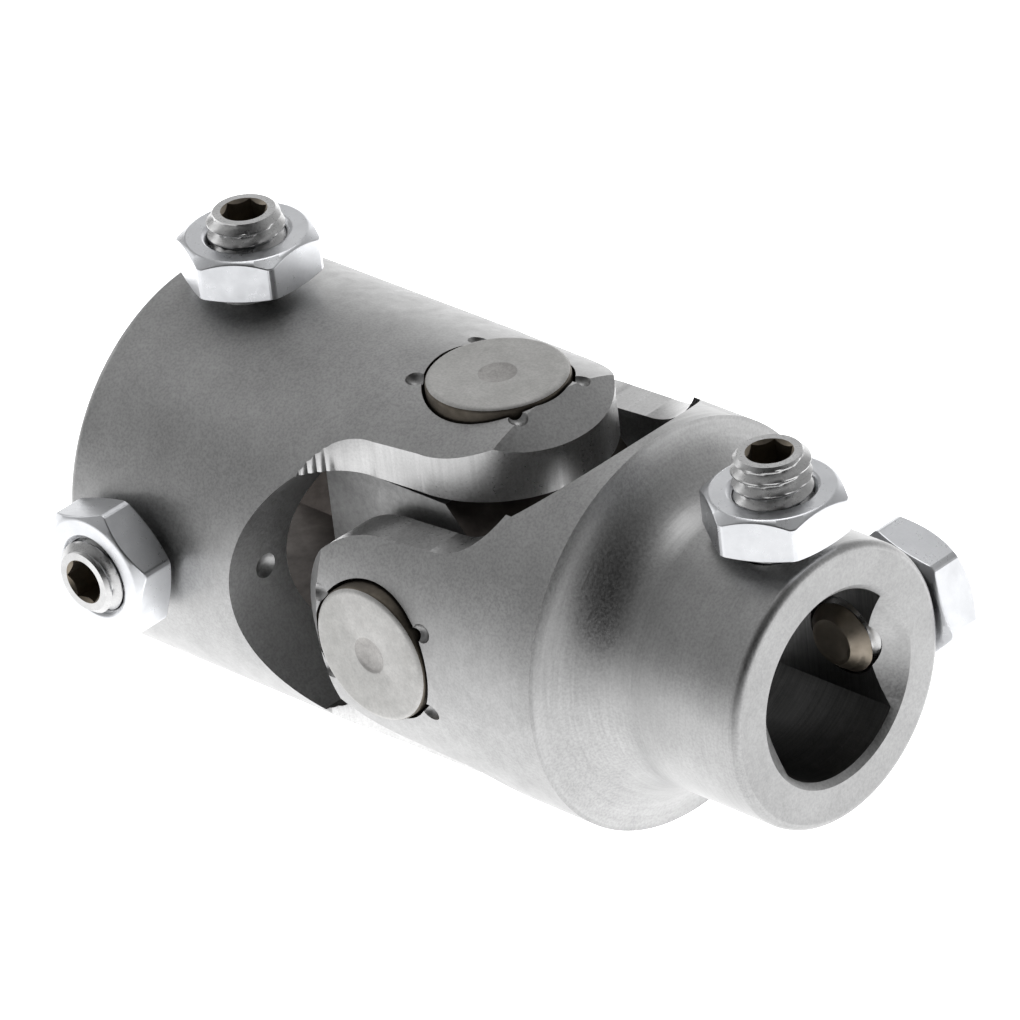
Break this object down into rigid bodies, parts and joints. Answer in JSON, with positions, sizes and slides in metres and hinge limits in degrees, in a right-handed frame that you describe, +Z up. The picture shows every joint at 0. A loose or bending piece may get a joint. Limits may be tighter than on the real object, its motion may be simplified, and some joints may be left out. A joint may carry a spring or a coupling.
{
  "type": "universal joint",
  "caption": "Steel steering universal joint with two ear yokes on a needle-bearing cross; flatted bores at both ends clamp round shafts with locked set screws.",
  "frame": {"origin": "middle of the bounding box, on the surface the part lies on; the joint centre is at (-0.0003, 0.00265, 0.02095)", "axes": "+X along the shaft line from the large-bore yoke to the small-bore yoke, +Z up, through the large yoke's pin; the small yoke's pin runs along Y"},
  "size_m": [0.0837, 0.0486, 0.0496],
  "materials": {
    "yoke_steel": "satin, fine turning marks, bead-blasted outside",
    "cross_steel": "ground grey steel",
    "cup_steel": "pale satin bearing steel",
    "needle_steel": "polished bearing steel",
    "seal_rubber": "matt black",
    "nut_zinc": "bright zinc plate",
    "screw_steel": "bright threaded steel"
  },
  "bodies": {
    "large_yoke": {"large_bore_yoke": "yoke_steel", "top_bearing_cup": "cup_steel", "bottom_bearing_cup": "cup_steel", "top_seal": "seal_rubber", "bottom_seal": "seal_rubber"},
    "cross": {"bearing_cross": "cross_steel"},
    "small_yoke": {"small_bore_yoke": "yoke_steel", "front_bearing_cup": "cup_steel", "back_bearing_cup": "cup_steel", "front_seal": "seal_rubber", "back_seal": "seal_rubber"},
    "top_needles": {"top_needle_rollers": "needle_steel"},
    "bottom_needles": {"bottom_needle_rollers": "needle_steel"},
    "front_needles": {"front_needle_rollers": "needle_steel"},
    "back_needles": {"back_needle_rollers": "needle_steel"},
    "large_top_screw": {"large_top_set_screw": "screw_steel"},
    "large_top_nut": {"large_top_jam_nut": "nut_zinc"},
    "large_front_screw": {"large_front_set_screw": "screw_steel"},
    "large_front_nut": {"large_front_jam_nut": "nut_zinc"},
    "small_top_screw": {"small_top_set_screw": "screw_steel"},
    "small_top_nut": {"small_top_jam_nut": "nut_zinc"},
    "small_back_screw": {"small_back_set_screw": "screw_steel"},
    "small_back_nut": {"small_back_jam_nut": "nut_zinc"}
  },
  "joints": [
    {"name": "cross_turn", "type": "hinge", "parent": "large_yoke", "child": "cross", "pos_m": [-0.0003, 0.00265, 0.02095], "axis": [0, 0, 1], "range_deg": [-25, 25]},
    {"name": "small_yoke_turn", "type": "hinge", "parent": "cross", "child": "small_yoke", "pos_m": [-0.0003, 0.00265, 0.02095], "axis": [0, 1, 0], "range_deg": [-25, 25]},
    {"name": "top_needles_roll", "type": "hinge", "parent": "large_yoke", "child": "top_needles", "pos_m": [-0.0003, 0.00265, 0.02095], "axis": [0, 0, 1], "range_deg": [-12, 12]},
    {"name": "bottom_needles_roll", "type": "hinge", "parent": "large_yoke", "child": "bottom_needles", "pos_m": [-0.0003, 0.00265, 0.02095], "axis": [0, 0, 1], "range_deg": [-12, 12]},
    {"name": "front_needles_roll", "type": "hinge", "parent": "small_yoke", "child": "front_needles", "pos_m": [-0.0003, 0.00265, 0.02095], "axis": [0, 1, 0], "range_deg": [-12, 12]},
    {"name": "back_needles_roll", "type": "hinge", "parent": "small_yoke", "child": "back_needles", "pos_m": [-0.0003, 0.00265, 0.02095], "axis": [0, 1, 0], "range_deg": [-12, 12]},
    {"name": "large_top_screw_travel", "type": "slide", "parent": "large_yoke", "child": "large_top_screw", "axis": [0, 0, 1], "range_m": [-0.002, 0.004]},
    {"name": "large_top_nut_travel", "type": "slide", "parent": "large_yoke", "child": "large_top_nut", "axis": [0, 0, 1], "range_m": [0, 0.003]},
    {"name": "large_front_screw_travel", "type": "slide", "parent": "large_yoke", "child": "large_front_screw", "axis": [0, -1, 0], "range_m": [-0.002, 0.004]},
    {"name": "large_front_nut_travel", "type": "slide", "parent": "large_yoke", "child": "large_front_nut", "axis": [0, -1, 0], "range_m": [0, 0.003]},
    {"name": "small_top_screw_travel", "type": "slide", "parent": "small_yoke", "child": "small_top_screw", "axis": [0, 0, 1], "range_m": [-0.002, 0.004]},
    {"name": "small_top_nut_travel", "type": "slide", "parent": "small_yoke", "child": "small_top_nut", "axis": [0, 0, 1], "range_m": [0, 0.003]},
    {"name": "small_back_screw_travel", "type": "slide", "parent": "small_yoke", "child": "small_back_screw", "axis": [0, 1, 0], "range_m": [-0.002, 0.004]},
    {"name": "small_back_nut_travel", "type": "slide", "parent": "small_yoke", "child": "small_back_nut", "axis": [0, 1, 0], "range_m": [0, 0.003]}
  ],
  "couplings": [
    {"joint": "top_needles_roll", "follows": "cross_turn", "ratio": 0.4155},
    {"joint": "bottom_needles_roll", "follows": "cross_turn", "ratio": 0.4155},
    {"joint": "front_needles_roll", "follows": "small_yoke_turn", "ratio": -0.4155},
    {"joint": "back_needles_roll", "follows": "small_yoke_turn", "ratio": -0.4155}
  ]
}
